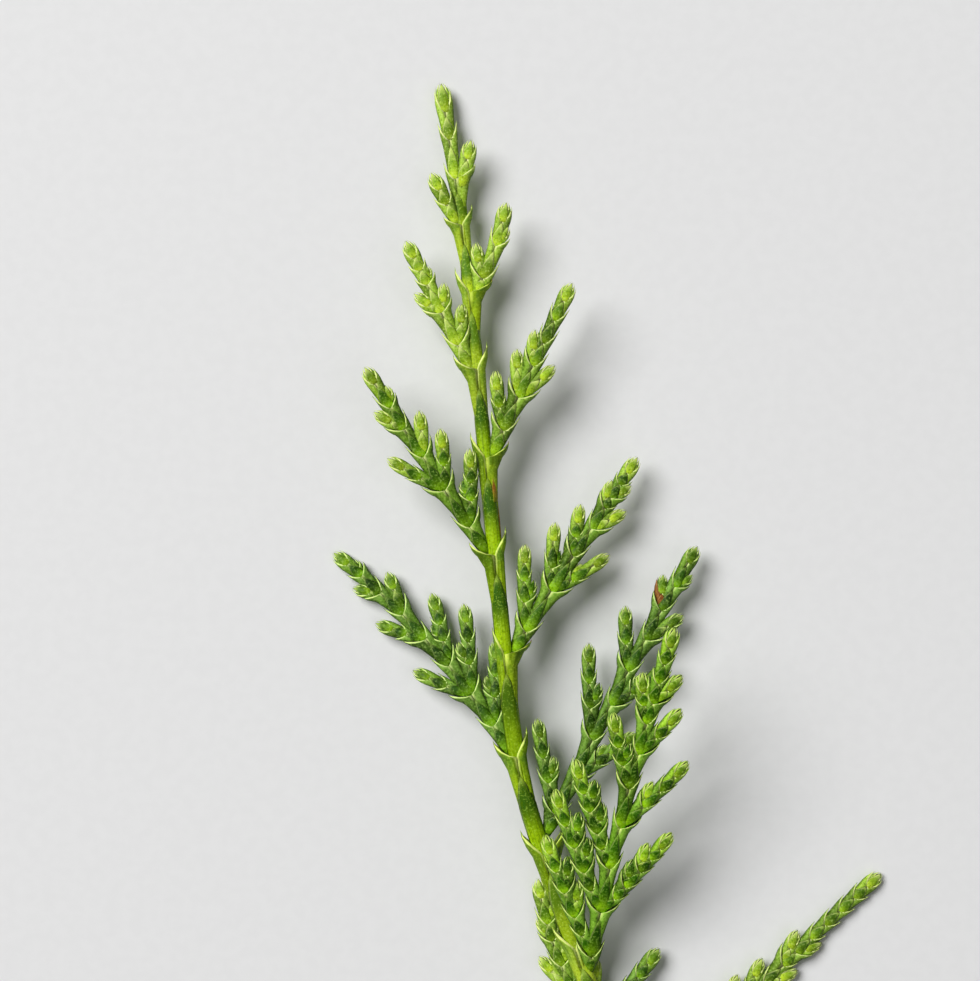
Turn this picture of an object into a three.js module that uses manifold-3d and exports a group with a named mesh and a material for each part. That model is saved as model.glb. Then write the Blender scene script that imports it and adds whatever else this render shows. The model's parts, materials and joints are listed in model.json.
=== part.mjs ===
// The leading shoot of a leyland cypress, cut off and laid down: one stem and the leafy sprays along it.
// Millimetres and degrees. +Y runs up the stem, +X to the right of it, +Z up from the surface it lies on.
import * as THREE from "three";
import { mergeVertices } from "three/addons/utils/BufferGeometryUtils.js";
import Module from "manifold-3d";

const wasm = await Module();
wasm.setup();

// The stem leans left in three stretches with soft bends between them, and arches a little off the surface.
// Its bare part ends below the tip, where a leafy leader goes on.
const STEM = {
  height: 93,
  bareHeight: 84,
  cutRadius: 0.92,
  topRadius: 0.55,
  lowLean: 0.345,
  midLean: 0.096,
  topLean: 0.15,
  lowBend: 33.5,
  topBend: 79.5,
  bendLength: 2.2,
  arch: 3.2,
  sides: 9,
  steps: 32,
};

// The stem's own leaves: eight-faced lozenges in crossed pairs, their roots sunk in it and their tips free
const STEM_LEAF = { length: 5.4, width: 1.3, thick: 0.8, sunk: 0.22, past: 0.2, flare: 8, apart: 2.6 };

// The scales that clothe a twig, in crossed pairs: each swells from low to high, where its tip stands free.
// bud is the length of the pointed end above the last pair, to the space between pairs.
const SCALE = {
  sideLow: 0.42,
  sideHigh: 0.72,
  faceLow: 0.38,
  faceHigh: 0.58,
  overhang: 0.28,
  step: 0.07,
  swell: [0, 0.45, 0.55, 1],
  bud: 0.6,
  tipTaper: 0.8,
  rootLength: 1,
  rootGirth: 0.7,
};

// Twigs: the spacing of their scale pairs, how they leave and bend back, and the buds on their inner side.
// narrowing is how many degrees less an inner twig leaves by at a spray's tip than at its root.
const TWIG = {
  mainPitch: 1.6,
  pitch: 1.3,
  mainGirth: 1.08,
  bendBack: 7,
  tilt: 5,
  wander: 3,
  shortest: 1.1,
  narrowing: 20,
  budAngle: 27,
  budShare: 0.26,
  budPlaces: [
    { fraction: 0.34, longerThan: 5.6 },
    { fraction: 0.55, longerThan: 9 },
  ],
};

// The clear space between the stem and every spray
const GAP = 0.3;

// What a spray has unless its own entry says otherwise. Its nodes bear twigs on the inner and outer hand by
// turns, from first to last of its length, the second and a few more (paired) on both. With more crowding
// they stand closer towards the tip. share is a twig's length to the spray's, which fades to the tip, with
// outerShare of it on the outer hand and lowest of it for each hand's first twig. inner and outer are the
// angles that twigs leave by, the inner one half way up the spray.
const USUAL = {
  turn: 0,
  nodes: 6,
  first: 0.18,
  last: 0.86,
  paired: 1,
  crowding: 1.3,
  inner: 32,
  outer: 31,
  share: 0.37,
  outerShare: 1,
  lowest: 1,
  fade: 0.9,
};

// at: height on the stem. heading: degrees right of +Y. turn: how far it bends. lift: degrees above level.
const SPRAYS = [
  { name: "spray_right_1", at: 82.6, heading: 11.4, lift: 6, length: 4.9, nodes: 0 },
  {
    name: "spray_left_1", at: 79.6, heading: -26.8, lift: 4, length: 5.6,
    nodes: 1, first: 0.49, share: 0.28,
  },
  {
    name: "spray_right_2", at: 73.8, heading: 28.8, turn: -18.4, lift: 7, length: 8.7,
    nodes: 3, first: 0.28, paired: 0, inner: 35, outer: 22, share: 0.44, outerShare: 1.08,
  },
  {
    name: "spray_left_2", at: 66.9, heading: -27.6, turn: 1.6, lift: 2, length: 13.2,
    nodes: 4, first: 0.287, inner: 33, share: 0.34, outerShare: 1.12,
  },
  {
    name: "spray_right_3", at: 59.7, heading: 23.4, turn: 2.6, lift: 6, length: 16.9,
    nodes: 3, first: 0.213, last: 0.57, crowding: 1.05, inner: 27.3, outer: 25.6, share: 0.36,
  },
  {
    name: "spray_left_3", at: 51.5, heading: -34.2, turn: 1.6, lift: 5, length: 19.7,
    first: 0.204, last: 0.88, crowding: 1.5, inner: 30.2, outer: 29.9, share: 0.4, outerShare: 1.06,
  },
  {
    name: "spray_right_4", at: 43.1, heading: 31.7, turn: 1.9, lift: -4, length: 20.5,
    first: 0.159, last: 0.82, crowding: 1.6, inner: 28.6, outer: 31.2, share: 0.414,
  },
  {
    name: "spray_left_4", at: 34.4, heading: -30.3, turn: -21.8, lift: -8.44, length: 24,
    nodes: 7, first: 0.167, last: 0.885, crowding: 1.15, inner: 31, outer: 31.5,
    share: 0.44, outerShare: 0.87, lowest: 0.8,
  },
  {
    name: "spray_right_5", at: 27.6, heading: 25.3, turn: 5.1, lift: -3, length: 28.4,
    nodes: 8, first: 0.105, last: 0.876, paired: 0, crowding: 1.15,
    outer: 32, share: 0.42, outerShare: 0.9, lowest: 0.75,
  },
  {
    name: "spray_front", at: 15.9, heading: 8.6, turn: 7, lift: 20, length: 33.1,
    nodes: 8, first: 0.08, last: 0.81, inner: 27, outer: 33, share: 0.4, outerShare: 0.93, lowest: 0.93,
  },
  {
    name: "spray_left_5", at: 9.1, heading: -36.9, turn: 28, lift: -3, length: 16.4,
    nodes: 5, first: 0.224, last: 0.79, inner: 32.6, outer: 20, share: 0.42, outerShare: 0.95,
  },
  { name: "spray_right_6", at: 12.6, heading: 43.4, turn: -5, lift: -8, length: 7.4, nodes: 0 },
  {
    name: "spray_right_7", at: 3.3, heading: 39.4, turn: 10, lift: -1.58, length: 29.7,
    nodes: 6, first: 0.25, last: 0.68, inner: 26.7, outer: 26.6, share: 0.25, outerShare: 0.8,
  },
];

const COLOURS = { stem: 0x8fae3c, spray: 0x4f8a34 };

// Points nearer than this are one, and a bend smaller than this is straight
const SAME = 1e-5;
const STRAIGHT = 1e-9;

const radians = THREE.MathUtils.degToRad;

// A number from -1 to 1 that is always the same for the same two seeds
function wobble(seed, count) {
  const wave = Math.sin(seed * 12.9898 + count * 78.233) * 43758.5453;
  return 2 * (wave - Math.floor(wave)) - 1;
}

// Two directions mixed by an angle: the first turned towards the second
function turned(first, second, angle) {
  return first.clone().multiplyScalar(Math.cos(angle)).addScaledVector(second, Math.sin(angle));
}

// Rises from nothing below the bend to a slope of 1 above it
function softBend(height, bend) {
  return STEM.bendLength * Math.log(1 + Math.exp((height - bend) / STEM.bendLength));
}

// The middle of the stem at a height above the cut
function stemPoint(height) {
  const left =
    STEM.lowLean * height -
    (STEM.lowLean - STEM.midLean) * softBend(height, STEM.lowBend) +
    (STEM.topLean - STEM.midLean) * softBend(height, STEM.topBend);
  const along = height / STEM.height;
  return new THREE.Vector3(-left, height, STEM.cutRadius + STEM.arch * 4 * along * (1 - along));
}

function stemRadius(height) {
  return THREE.MathUtils.lerp(STEM.cutRadius, STEM.topRadius, height / STEM.bareHeight);
}

// A closed geometry as a solid that can be joined and cut
function solidOf(geometry) {
  const bare = geometry.clone();
  bare.deleteAttribute("normal");
  bare.deleteAttribute("uv");
  const merged = mergeVertices(bare, SAME);
  return new wasm.Manifold(
    new wasm.Mesh({
      numProp: 3,
      vertProperties: merged.attributes.position.array,
      triVerts: new Uint32Array(merged.index.array),
    }),
  );
}

// The largest body of a solid, as a geometry
function geometryOf(solid) {
  const bodies = solid.decompose().sort((a, b) => b.volume() - a.volume());
  const mesh = bodies[0].getMesh();
  const geometry = new THREE.BufferGeometry();
  geometry.setAttribute("position", new THREE.BufferAttribute(mesh.vertProperties, 3));
  geometry.setIndex(new THREE.BufferAttribute(mesh.triVerts, 1));
  const faceted = geometry.toNonIndexed();
  faceted.computeVertexNormals();
  return faceted;
}

// An axis is an arc: where it starts, its side, along and face directions there, its turn and its length.
// This gives its point and directions at a fraction of the length.
function axisFrame(axis, fraction) {
  const bend = radians(axis.turn) || STRAIGHT;
  const angle = bend * fraction;
  const point = axis.start
    .clone()
    .addScaledVector(axis.side, (axis.length * (1 - Math.cos(angle))) / bend)
    .addScaledVector(axis.along, (axis.length * Math.sin(angle)) / bend);
  const along = turned(axis.along, axis.side, angle);
  const side = turned(axis.side, axis.along, -angle);
  return { point, along, side, face: axis.face };
}

// A twig that leaves its parent on one hand, 1 for its side direction and -1 for the other, and is tilted
function branchOf(parent, fraction, hand, angle, tilt, length) {
  const at = axisFrame(parent, fraction);
  const flat = turned(at.along, at.side, hand * radians(angle));
  return {
    start: at.point,
    side: turned(at.side, at.along, -hand * radians(angle)),
    along: turned(flat, at.face, radians(tilt)),
    face: turned(at.face, flat, -radians(tilt)),
    turn: -hand * TWIG.bendBack,
    length,
    pitch: TWIG.pitch,
    girth: 1,
  };
}

// All the axes of one spray, in its own frame: the main one, its twigs on each hand by turns, and their buds
function sprayAxes(spray, seed) {
  const main = {
    start: new THREE.Vector3(),
    side: new THREE.Vector3(1, 0, 0),
    along: new THREE.Vector3(0, 1, 0),
    face: new THREE.Vector3(0, 0, 1),
    turn: spray.turn,
    length: spray.length,
    pitch: TWIG.mainPitch,
    girth: TWIG.mainGirth,
  };
  const axes = [main];
  const innerHand = -Math.sign(spray.heading);
  const lowest = { [innerHand]: spray.lowest, [-innerHand]: spray.lowest };
  let count = 0;
  for (let node = 1; node <= spray.nodes; node++) {
    const step = spray.nodes > 1 ? (node - 1) / (spray.nodes - 1) : 0;
    const fraction = spray.last - (spray.last - spray.first) * (1 - step) ** spray.crowding;
    const both = node >= 2 && node < 2 + spray.paired;
    const hands = both ? [innerHand, -innerHand] : [node % 2 ? innerHand : -innerHand];
    for (const hand of hands) {
      count += 1;
      const inner = hand === innerHand;
      const share = spray.share * (inner ? 1 : spray.outerShare) * lowest[hand];
      const length = share * spray.length * (1 - fraction) ** spray.fade;
      lowest[hand] = 1;
      if (length < TWIG.shortest) continue;
      const innerAngle = spray.inner + TWIG.narrowing * (0.5 - fraction);
      const angle = (inner ? innerAngle : spray.outer) + TWIG.wander * wobble(seed, count);
      const tilt = TWIG.tilt * wobble(seed, -count);
      const twig = branchOf(main, fraction, hand, angle, tilt, length);
      axes.push(twig);
      for (const bud of TWIG.budPlaces) {
        if (length < bud.longerThan) continue;
        axes.push(branchOf(twig, bud.fraction, -hand, TWIG.budAngle, tilt, TWIG.budShare * length));
      }
    }
  }
  return axes;
}

// One axis clothed in its scales: a four-sided rod with two rings for each pair, one at the free tips and one
// where the next pair comes out from under them. Side and face pairs take turns, and the end is pointed.
function scalySolid(axis) {
  const leafy = axis.length - SCALE.rootLength;
  const pairs = Math.max(1, Math.round(leafy / axis.pitch));
  const rings = 2 * pairs + 1;
  const spacing = leafy / (pairs + SCALE.bud);
  const geometry = new THREE.CylinderGeometry(0, 1, 1, 4, rings);
  const position = geometry.attributes.position;
  for (let i = 0; i < position.count; i++) {
    const ring = Math.round((position.getY(i) + 0.5) * rings);
    const [x, z] = [position.getX(i), position.getZ(i)];
    const onSide = Math.abs(x) > Math.abs(z);
    const phase = (((ring - (onSide ? 2 : 4)) % 4) + 4) % 4;
    const pair = Math.ceil(ring / 2);
    const under = ring > 0 && ring % 2 === 0;
    const free = phase === 3 && !under;
    let reach = SCALE.rootLength + pair * spacing + (under ? SCALE.step : 0) + (free ? SCALE.overhang : 0);
    if (ring === 0) reach = 0;
    if (ring === rings) reach = axis.length;
    const fraction = Math.min(1, reach / axis.length);
    const low = onSide ? SCALE.sideLow : SCALE.faceLow;
    const high = onSide ? SCALE.sideHigh : SCALE.faceHigh;
    const girth = axis.girth * THREE.MathUtils.lerp(1, SCALE.tipTaper, fraction);
    let radius = girth * THREE.MathUtils.lerp(low, high, SCALE.swell[phase]);
    if (ring === 0) radius = girth * low * SCALE.rootGirth;
    if (ring === rings) radius = 0;
    const at = axisFrame(axis, fraction);
    const away = onSide ? at.side.multiplyScalar(Math.sign(x)) : at.face.clone().multiplyScalar(Math.sign(z));
    at.point.addScaledVector(away, radius);
    position.setXYZ(i, at.point.x, at.point.y, at.point.z);
  }
  return solidOf(geometry);
}

// One of the stem's leaves: a lozenge grown from a root along a direction, its outer face turned to out.
// With extra it is the leaf and the clear space round it: a larger lozenge with its points cut off.
function leafSolid(root, along, out, scale, extra) {
  const across = new THREE.Vector3().crossVectors(along, out).normalize();
  const normal = new THREE.Vector3().crossVectors(across, along);
  const half = [STEM_LEAF.width, STEM_LEAF.length, STEM_LEAF.thick].map((size) => (size * scale) / 2);
  const middle = root.clone().addScaledVector(along, half[1]);
  const place = new THREE.Matrix4().makeBasis(across, along, normal).setPosition(middle);
  const toFace = 1 / Math.hypot(...half.map((size) => 1 / size));
  const lozenge = new THREE.OctahedronGeometry(1 + extra / toFace).scale(...half);
  const leaf = solidOf(lozenge.applyMatrix4(place));
  if (extra === 0) return leaf;
  const block = new THREE.BoxGeometry(...half.map((size) => 2 * (size + extra)));
  return leaf.intersect(solidOf(block.applyMatrix4(place)));
}

// The bare stem: a tapering cylinder sheared along its line, so that the cut below is flat and faces -Y
function stemCore(extra) {
  const { topRadius, cutRadius, bareHeight, sides, steps } = STEM;
  const geometry = new THREE.CylinderGeometry(topRadius + extra, cutRadius + extra, bareHeight, sides, steps);
  const position = geometry.attributes.position;
  for (let i = 0; i < position.count; i++) {
    const middle = stemPoint(position.getY(i) + bareHeight / 2);
    position.setXYZ(i, position.getX(i) + middle.x, middle.y, position.getZ(i) + middle.z);
  }
  return solidOf(geometry);
}

// The leafy leader that goes on from the bare stem to the tip
function leaderAxis() {
  const start = stemPoint(STEM.bareHeight - TWIG.mainPitch);
  const along = stemPoint(STEM.height).sub(start);
  const length = along.length();
  along.normalize();
  const side = new THREE.Vector3().crossVectors(along, new THREE.Vector3(0, 0, 1)).normalize();
  const face = new THREE.Vector3().crossVectors(side, along);
  return { start, side, along, face, turn: 0, length, pitch: TWIG.mainPitch, girth: TWIG.mainGirth };
}

// The clear space round the leader: a plain rod that holds all its scales
function leaderRoom() {
  const { side, along, face, girth, ...axis } = leaderAxis();
  const radius = girth * SCALE.sideHigh + GAP;
  const rod = new THREE.CylinderGeometry(radius, radius, axis.length, STEM.sides);
  const middle = axis.start.addScaledVector(along, axis.length / 2);
  return solidOf(rod.applyMatrix4(new THREE.Matrix4().makeBasis(side, along, face).setPosition(middle)));
}

// Heights of the stem's leaf pairs that the cut leaves whole: side leaves where a spray leaves it, and face
// leaves half way to the next
function stemNodes() {
  const places = SPRAYS.map((spray) => spray.at).sort((a, b) => a - b);
  const nodes = [];
  places.forEach((height, index) => {
    const next = places[index + 1] ?? STEM.bareHeight;
    if (next - height > STEM_LEAF.apart) {
      nodes.push({ height, face: false }, { height: (height + next) / 2, face: true });
    }
  });
  return nodes.filter((node) => node.height > STEM_LEAF.length);
}

function stemLeaves(extra) {
  const leaves = [];
  const flare = radians(STEM_LEAF.flare);
  for (const node of stemNodes()) {
    const at = stemPoint(node.height);
    const along = stemPoint(node.height + 1).sub(at).normalize();
    const radius = stemRadius(node.height);
    const scale = radius / STEM.cutRadius;
    const length = STEM_LEAF.length * scale;
    const out = node.face ? new THREE.Vector3(0, 0, 1) : new THREE.Vector3(1, 0, 0);
    for (const hand of [1, -1]) {
      const away = out.clone().multiplyScalar(hand);
      away.addScaledVector(along, -away.dot(along)).normalize();
      const root = at
        .clone()
        .addScaledVector(away, radius - STEM_LEAF.sunk)
        .addScaledVector(along, -length * (1 - STEM_LEAF.past));
      leaves.push(leafSolid(root, turned(along, away, flare), away, scale, extra));
    }
  }
  return leaves;
}

function stemSolid() {
  return wasm.Manifold.union([stemCore(0), scalySolid(leaderAxis()), ...stemLeaves(0)]);
}

// The stem and the clear space round it
function stemRoom() {
  return wasm.Manifold.union([stemCore(GAP), leaderRoom(), ...stemLeaves(GAP)]);
}

function part(name, colour, solid) {
  const material = new THREE.MeshStandardMaterial({ color: colour, roughness: 0.55, metalness: 0 });
  const mesh = new THREE.Mesh(geometryOf(solid), material);
  mesh.name = name;
  return mesh;
}

const shoot = new THREE.Group();
shoot.add(part("stem", COLOURS.stem, stemSolid()));

// Each spray grows in a group of its own, turned to its heading and lift, and is cut clear of the stem
const clear = stemRoom();
SPRAYS.forEach((entry, index) => {
  const spray = { ...USUAL, ...entry };
  const group = new THREE.Group();
  group.position.copy(stemPoint(spray.at));
  group.rotation.set(radians(spray.lift), 0, radians(-spray.heading), "ZXY");
  group.updateMatrix();
  const room = clear.transform(group.matrix.clone().invert().elements);
  const leafy = wasm.Manifold.union(sprayAxes(spray, index + 1).map(scalySolid));
  group.add(part(spray.name, COLOURS.spray, leafy.subtract(room)));
  shoot.add(group);
});

// The frame's origin is the middle of the shoot's footprint, on the surface it lies on
const box = new THREE.Box3().setFromObject(shoot, true);
const middle = box.getCenter(new THREE.Vector3());
shoot.position.set(-middle.x, -middle.y, -box.min.z);

const root = new THREE.Group();
root.add(shoot);
export default root;
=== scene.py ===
# A leading shoot of leyland cypress, cut off and laid down: its stem, its sprays and all their scale leaves.
# Lengths are in millimetres and angles in degrees until a mesh is made. Up the stem is +Y, off the table +Z.
import json
import math

import bpy
import numpy as np
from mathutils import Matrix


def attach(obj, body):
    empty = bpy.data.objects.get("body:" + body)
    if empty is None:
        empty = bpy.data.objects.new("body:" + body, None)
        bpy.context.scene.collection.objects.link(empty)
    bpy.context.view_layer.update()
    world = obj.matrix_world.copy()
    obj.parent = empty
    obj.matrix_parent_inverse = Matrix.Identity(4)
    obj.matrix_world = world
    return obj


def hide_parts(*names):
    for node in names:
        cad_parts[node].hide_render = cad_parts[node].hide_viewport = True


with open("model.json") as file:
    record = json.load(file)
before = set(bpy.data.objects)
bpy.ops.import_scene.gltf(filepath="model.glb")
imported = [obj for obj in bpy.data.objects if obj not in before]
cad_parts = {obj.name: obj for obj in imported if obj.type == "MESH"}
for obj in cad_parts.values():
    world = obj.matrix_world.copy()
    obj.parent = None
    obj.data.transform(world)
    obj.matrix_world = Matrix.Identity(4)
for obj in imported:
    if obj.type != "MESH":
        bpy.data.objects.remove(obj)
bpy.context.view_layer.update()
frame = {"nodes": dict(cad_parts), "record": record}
mm = 0.001
dice = np.random.default_rng(5)
print("frame loaded,", len(frame["nodes"]), "nodes")

# The stem leans left by three slopes with soft bends between them, and arches a little off the table
stemForm = {
    "height": 93, "bareHeight": 84, "cutRadius": 0.92, "topRadius": 0.55, "thickShare": 0.97, "arch": 3.2,
    "lowLean": 0.345, "midLean": 0.096, "topLean": 0.15, "lowBend": 33.5, "topBend": 79.5, "bendLength": 2.2,
    "leafyFrom": 79, "leafyOver": 6, "leafyWide": 0.68, "leafyThick": 0.52, "slopeStep": 0.05,
}
cutEnd = np.array(frame["record"]["mounts"][0]["pos_m"]) / mm
stemFoot = cutEnd - np.array([0, 0, stemForm["cutRadius"]])


def smooth(share):  # 0 to 1 with level ends
    share = np.clip(share, 0, 1)
    return share * share * (3 - 2 * share)


def mix(first, second, share):  # the first at 0, the second at 1
    return first + (second - first) * share


def unit(vector):  # the same direction, 1 long
    return vector / np.linalg.norm(vector, axis=-1, keepdims=True)


def softBend(height, bend):  # nothing below the bend, a slope of 1 above it
    return stemForm["bendLength"] * np.log1p(np.exp((height - bend) / stemForm["bendLength"]))


def stemPoint(height):
    # sideways: the low slope, changed at each bend; upwards: a parabola between the two ends
    form = stemForm
    left = form["lowLean"] * height - (form["lowLean"] - form["midLean"]) * softBend(height, form["lowBend"])
    left = left + (form["topLean"] - form["midLean"]) * softBend(height, form["topBend"])
    part = height / form["height"]
    up = form["cutRadius"] + form["arch"] * 4 * part * (1 - part)
    return np.stack([-left, height, up], -1) + stemFoot


# The sprays: height on the stem (at), degrees right of up the page (heading), bend (turn), degrees off level
# (lift) and length. Twigs stand on them at nodes from first to last of the length, crowding towards the tip,
# one at each node by turns or two at the paired ones, at the inner and outer angles. A twig's length is a
# share of the spray's that fades towards the tip, and the lowest twig of each hand may be shorter. leaf is
# how far above that height the stem's own leaf stands, bract how far along the spray that leaf reaches,
# opposite how far the leaf on the stem's other side leans out, and driedLeaf whether the first one's tip is
# brown.
usualSpray = {
    "turn": 0, "nodes": 6, "first": 0.18, "last": 0.86, "paired": 1, "crowding": 1.3, "inner": 32,
    "outer": 31, "share": 0.37, "outerShare": 1, "lowest": 1, "fade": 0.9,
    "leaf": 0.95, "bract": 3.0, "opposite": 0.42, "driedLeaf": False,
}
sprays = [
    {"name": "spray_right_1", "at": 82.6, "heading": 11.4, "lift": 6, "length": 4.9, "nodes": 0,
     "leaf": 1.9, "bract": 3.5},
    {"name": "spray_left_1", "at": 79.6, "heading": -26.8, "lift": 4, "length": 5.6, "nodes": 1,
     "first": 0.49, "share": 0.28, "bract": 2.3},
    {"name": "spray_right_2", "at": 73.8, "heading": 28.8, "turn": -18.4, "lift": 7, "length": 8.7,
     "nodes": 3, "first": 0.28, "paired": 0, "inner": 35, "outer": 22, "share": 0.44, "outerShare": 1.08,
     "bract": 2.7, "driedLeaf": True},
    {"name": "spray_left_2", "at": 66.9, "heading": -27.6, "turn": 1.6, "lift": 2, "length": 13.2, "nodes": 4,
     "first": 0.287, "inner": 33, "share": 0.34, "outerShare": 1.12, "leaf": 1.3, "bract": 3.3},
    {"name": "spray_right_3", "at": 59.7, "heading": 23.4, "turn": 2.6, "lift": 6, "length": 16.9, "nodes": 3,
     "first": 0.213, "last": 0.57, "crowding": 1.05, "inner": 27.3, "outer": 25.6, "share": 0.36,
     "driedLeaf": True},
    {"name": "spray_left_3", "at": 51.5, "heading": -34.2, "turn": 1.6, "lift": 5, "length": 19.7,
     "first": 0.204, "last": 0.88, "crowding": 1.5, "inner": 30.2, "outer": 29.9, "share": 0.4,
     "outerShare": 1.06},
    {"name": "spray_right_4", "at": 43.1, "heading": 31.7, "turn": 1.9, "lift": -4, "length": 20.5,
     "first": 0.159, "last": 0.82, "crowding": 1.6, "inner": 28.6, "outer": 31.2, "share": 0.414,
     "opposite": 0.1, "driedLeaf": True},
    {"name": "spray_left_4", "at": 34.4, "heading": -30.3, "turn": -21.8, "lift": -8.44, "length": 24,
     "nodes": 7, "first": 0.167, "last": 0.885, "crowding": 1.15, "inner": 31, "outer": 31.5, "share": 0.44,
     "outerShare": 0.87, "lowest": 0.8},
    {"name": "spray_right_5", "at": 27.6, "heading": 25.3, "turn": 5.1, "lift": -3, "length": 28.4,
     "nodes": 8, "first": 0.105, "last": 0.876, "paired": 0, "crowding": 1.15, "outer": 32, "share": 0.42,
     "outerShare": 0.9, "lowest": 0.75, "leaf": -0.6, "driedLeaf": True},
    {"name": "spray_front", "at": 15.9, "heading": 8.6, "turn": 7, "lift": 20, "length": 33.1, "nodes": 8,
     "first": 0.08, "last": 0.81, "inner": 27, "outer": 33, "share": 0.445, "outerShare": 0.93,
     "lowest": 0.84},
    {"name": "spray_left_5", "at": 9.1, "heading": -36.9, "turn": 28, "lift": -3, "length": 16.4, "nodes": 5,
     "first": 0.224, "last": 0.79, "inner": 32.6, "outer": 20, "share": 0.42, "outerShare": 0.95},
    {"name": "spray_right_6", "at": 12.6, "heading": 43.4, "turn": -5, "lift": -8, "length": 7.4, "nodes": 0,
     "leaf": 0.15},
    {"name": "spray_right_7", "at": 3.3, "heading": 39.4, "turn": 10, "lift": -1.58, "length": 29.7,
     "first": 0.25, "last": 0.68, "inner": 26.7, "outer": 26.6, "share": 0.25, "outerShare": 0.8,
     "leaf": 0.15},
]

# The twigs: half width and thickness, girth at a root and the length it thickens over, how a tip closes, how
# far twigs bend back, tilt and wander, and where the longer ones bear buds
twigForm = {
    "halfWidth": 0.65, "halfThick": 0.48, "mainGirth": 1.08, "tipTaper": 0.9,
    "mainRoot": (0.3, 2.6), "twigRoot": (0.6, 1.4),
    "roundEnd": 2.0, "tipShut": 0.985, "tipBlunt": 2.2, "tipRound": 0.6,
    "bendBack": 7, "tilt": 5, "wander": 3, "shortest": 1.4, "narrowing": 20,
    "mainGrow": 0.55, "twigGrow": 0.3,
    "budAngle": 27, "budShare": 0.26, "budPlaces": ((0.34, 5.6), (0.55, 9)),
}


def wobble(seed, count):  # -1 to 1, always the same for the same two numbers
    wave = math.sin(seed * 12.9898 + count * 78.233) * 43758.5453
    return 2 * (wave - math.floor(wave)) - 1


def turned(first, second, angle):  # the first direction swung towards the second
    return first * np.cos(angle) + second * np.sin(angle)


def pathFrame(axis, reach):
    # point, side, face and along at lengths up an axis: the stem by its slope, a twig as an arc of a circle
    if axis["rank"] == "stem":
        step = stemForm["slopeStep"]
        along = unit(stemPoint(reach + step) - stemPoint(reach - step))
        side = unit(np.cross(along, [0, 0, 1]))
        return stemPoint(reach), side, np.cross(side, along), along
    bend = math.radians(axis["turn"]) or 1e-9  # a straight one bends by next to nothing
    angle = (bend * reach / axis["length"])[..., None]
    radius = axis["length"] / bend
    point = axis["start"] + radius * (axis["side"] * (1 - np.cos(angle)) + axis["along"] * np.sin(angle))
    side = turned(axis["side"], axis["along"], -angle)
    return point, side, axis["face"] + 0 * side, turned(axis["along"], axis["side"], angle)


def frameAt(axis, reach):  # the same at one length
    return (vector[0] for vector in pathFrame(axis, np.array([reach])))


def branchOf(parent, reach, hand, angle, tilt, length, rank):
    # it leaves with its parent's own directions, swung to one hand by the angle and tipped by the tilt
    point, side, face, along = frameAt(parent, reach)
    swing = hand * math.radians(angle)
    tip = math.radians(tilt)
    flat = turned(along, side, swing)
    parent["forks"].append({"at": round(reach, 6), "hand": hand, "bears": length, "angle": angle})
    return {
        "rank": rank, "start": point, "side": turned(side, along, -swing), "along": turned(flat, face, tip),
        "face": turned(face, flat, -tip), "turn": -hand * twigForm["bendBack"], "length": length, "girth": 1,
        "forks": [],
    }


def growSpray(spray, seed):
    # a main axis, twigs on the inner and outer hand by turns, and buds on the longer twigs
    twig = twigForm
    heading, lift = math.radians(spray["heading"]), math.radians(spray["lift"])
    sideways, forwards = math.sin(heading), math.cos(heading)
    main = {
        "rank": "main", "start": stemPoint(np.array(spray["at"])), "side": np.array([forwards, -sideways, 0]),
        "along": np.array([sideways * math.cos(lift), forwards * math.cos(lift), math.sin(lift)]),
        "face": np.array([-sideways * math.sin(lift), -forwards * math.sin(lift), math.cos(lift)]),
        "turn": spray["turn"], "length": spray["length"], "girth": twig["mainGirth"], "forks": [],
    }
    axes = [main]
    innerHand = -int(np.sign(spray["heading"]))
    lowest = {1: spray["lowest"], -1: spray["lowest"]}
    count = 0
    for node in range(1, spray["nodes"] + 1):
        step = (node - 1) / max(1, spray["nodes"] - 1)
        fraction = spray["last"] - (spray["last"] - spray["first"]) * (1 - step) ** spray["crowding"]
        hands = (innerHand if node % 2 else -innerHand,)
        if 2 <= node < 2 + spray["paired"]:
            hands = (innerHand, -innerHand)
        for hand in hands:
            count += 1
            inner = hand == innerHand
            share = spray["share"] * (1 if inner else spray["outerShare"]) * lowest[hand]
            length = share * spray["length"] * (1 - fraction) ** spray["fade"]
            lowest[hand] = 1
            if length < twig["shortest"]:
                continue
            angle = spray["inner"] + twig["narrowing"] * (0.5 - fraction) if inner else spray["outer"]
            angle += twig["wander"] * wobble(seed, count)
            tilt = twig["tilt"] * wobble(seed, -count)
            parent = branchOf(main, fraction * spray["length"], hand, angle, tilt, length, "twig")
            axes.append(parent)
            for place, longerThan in twig["budPlaces"]:
                if length >= longerThan:
                    bud = twig["budShare"] * length
                    axes.append(branchOf(parent, place * length, -hand, twig["budAngle"], tilt, bud, "bud"))
    for axis in axes:
        axis["spray"] = spray["name"]
        axis["length"] += twig["mainGrow"] if axis["rank"] == "main" else twig["twigGrow"]
    return axes


stemAxis = {"rank": "stem", "length": stemForm["height"], "spray": "stem", "forks": []}
twigAxes = []
for index, own in enumerate(sprays):
    spray = {**usualSpray, **own}
    axes = growSpray(spray, index + 1)
    twigAxes += axes
    if spray["name"] != "spray_front":  # that one hides its own leaf
        stemAxis["forks"].append({
            "at": round(spray["at"] + spray["leaf"], 6), "hand": int(np.sign(spray["heading"])),
            "main": axes[0], "reach": spray["bract"], "opposite": spray["opposite"],
            "dried": spray["driedLeaf"]})
print("grown,", len(twigAxes), "twigs on", len(sprays), "sprays")


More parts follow.
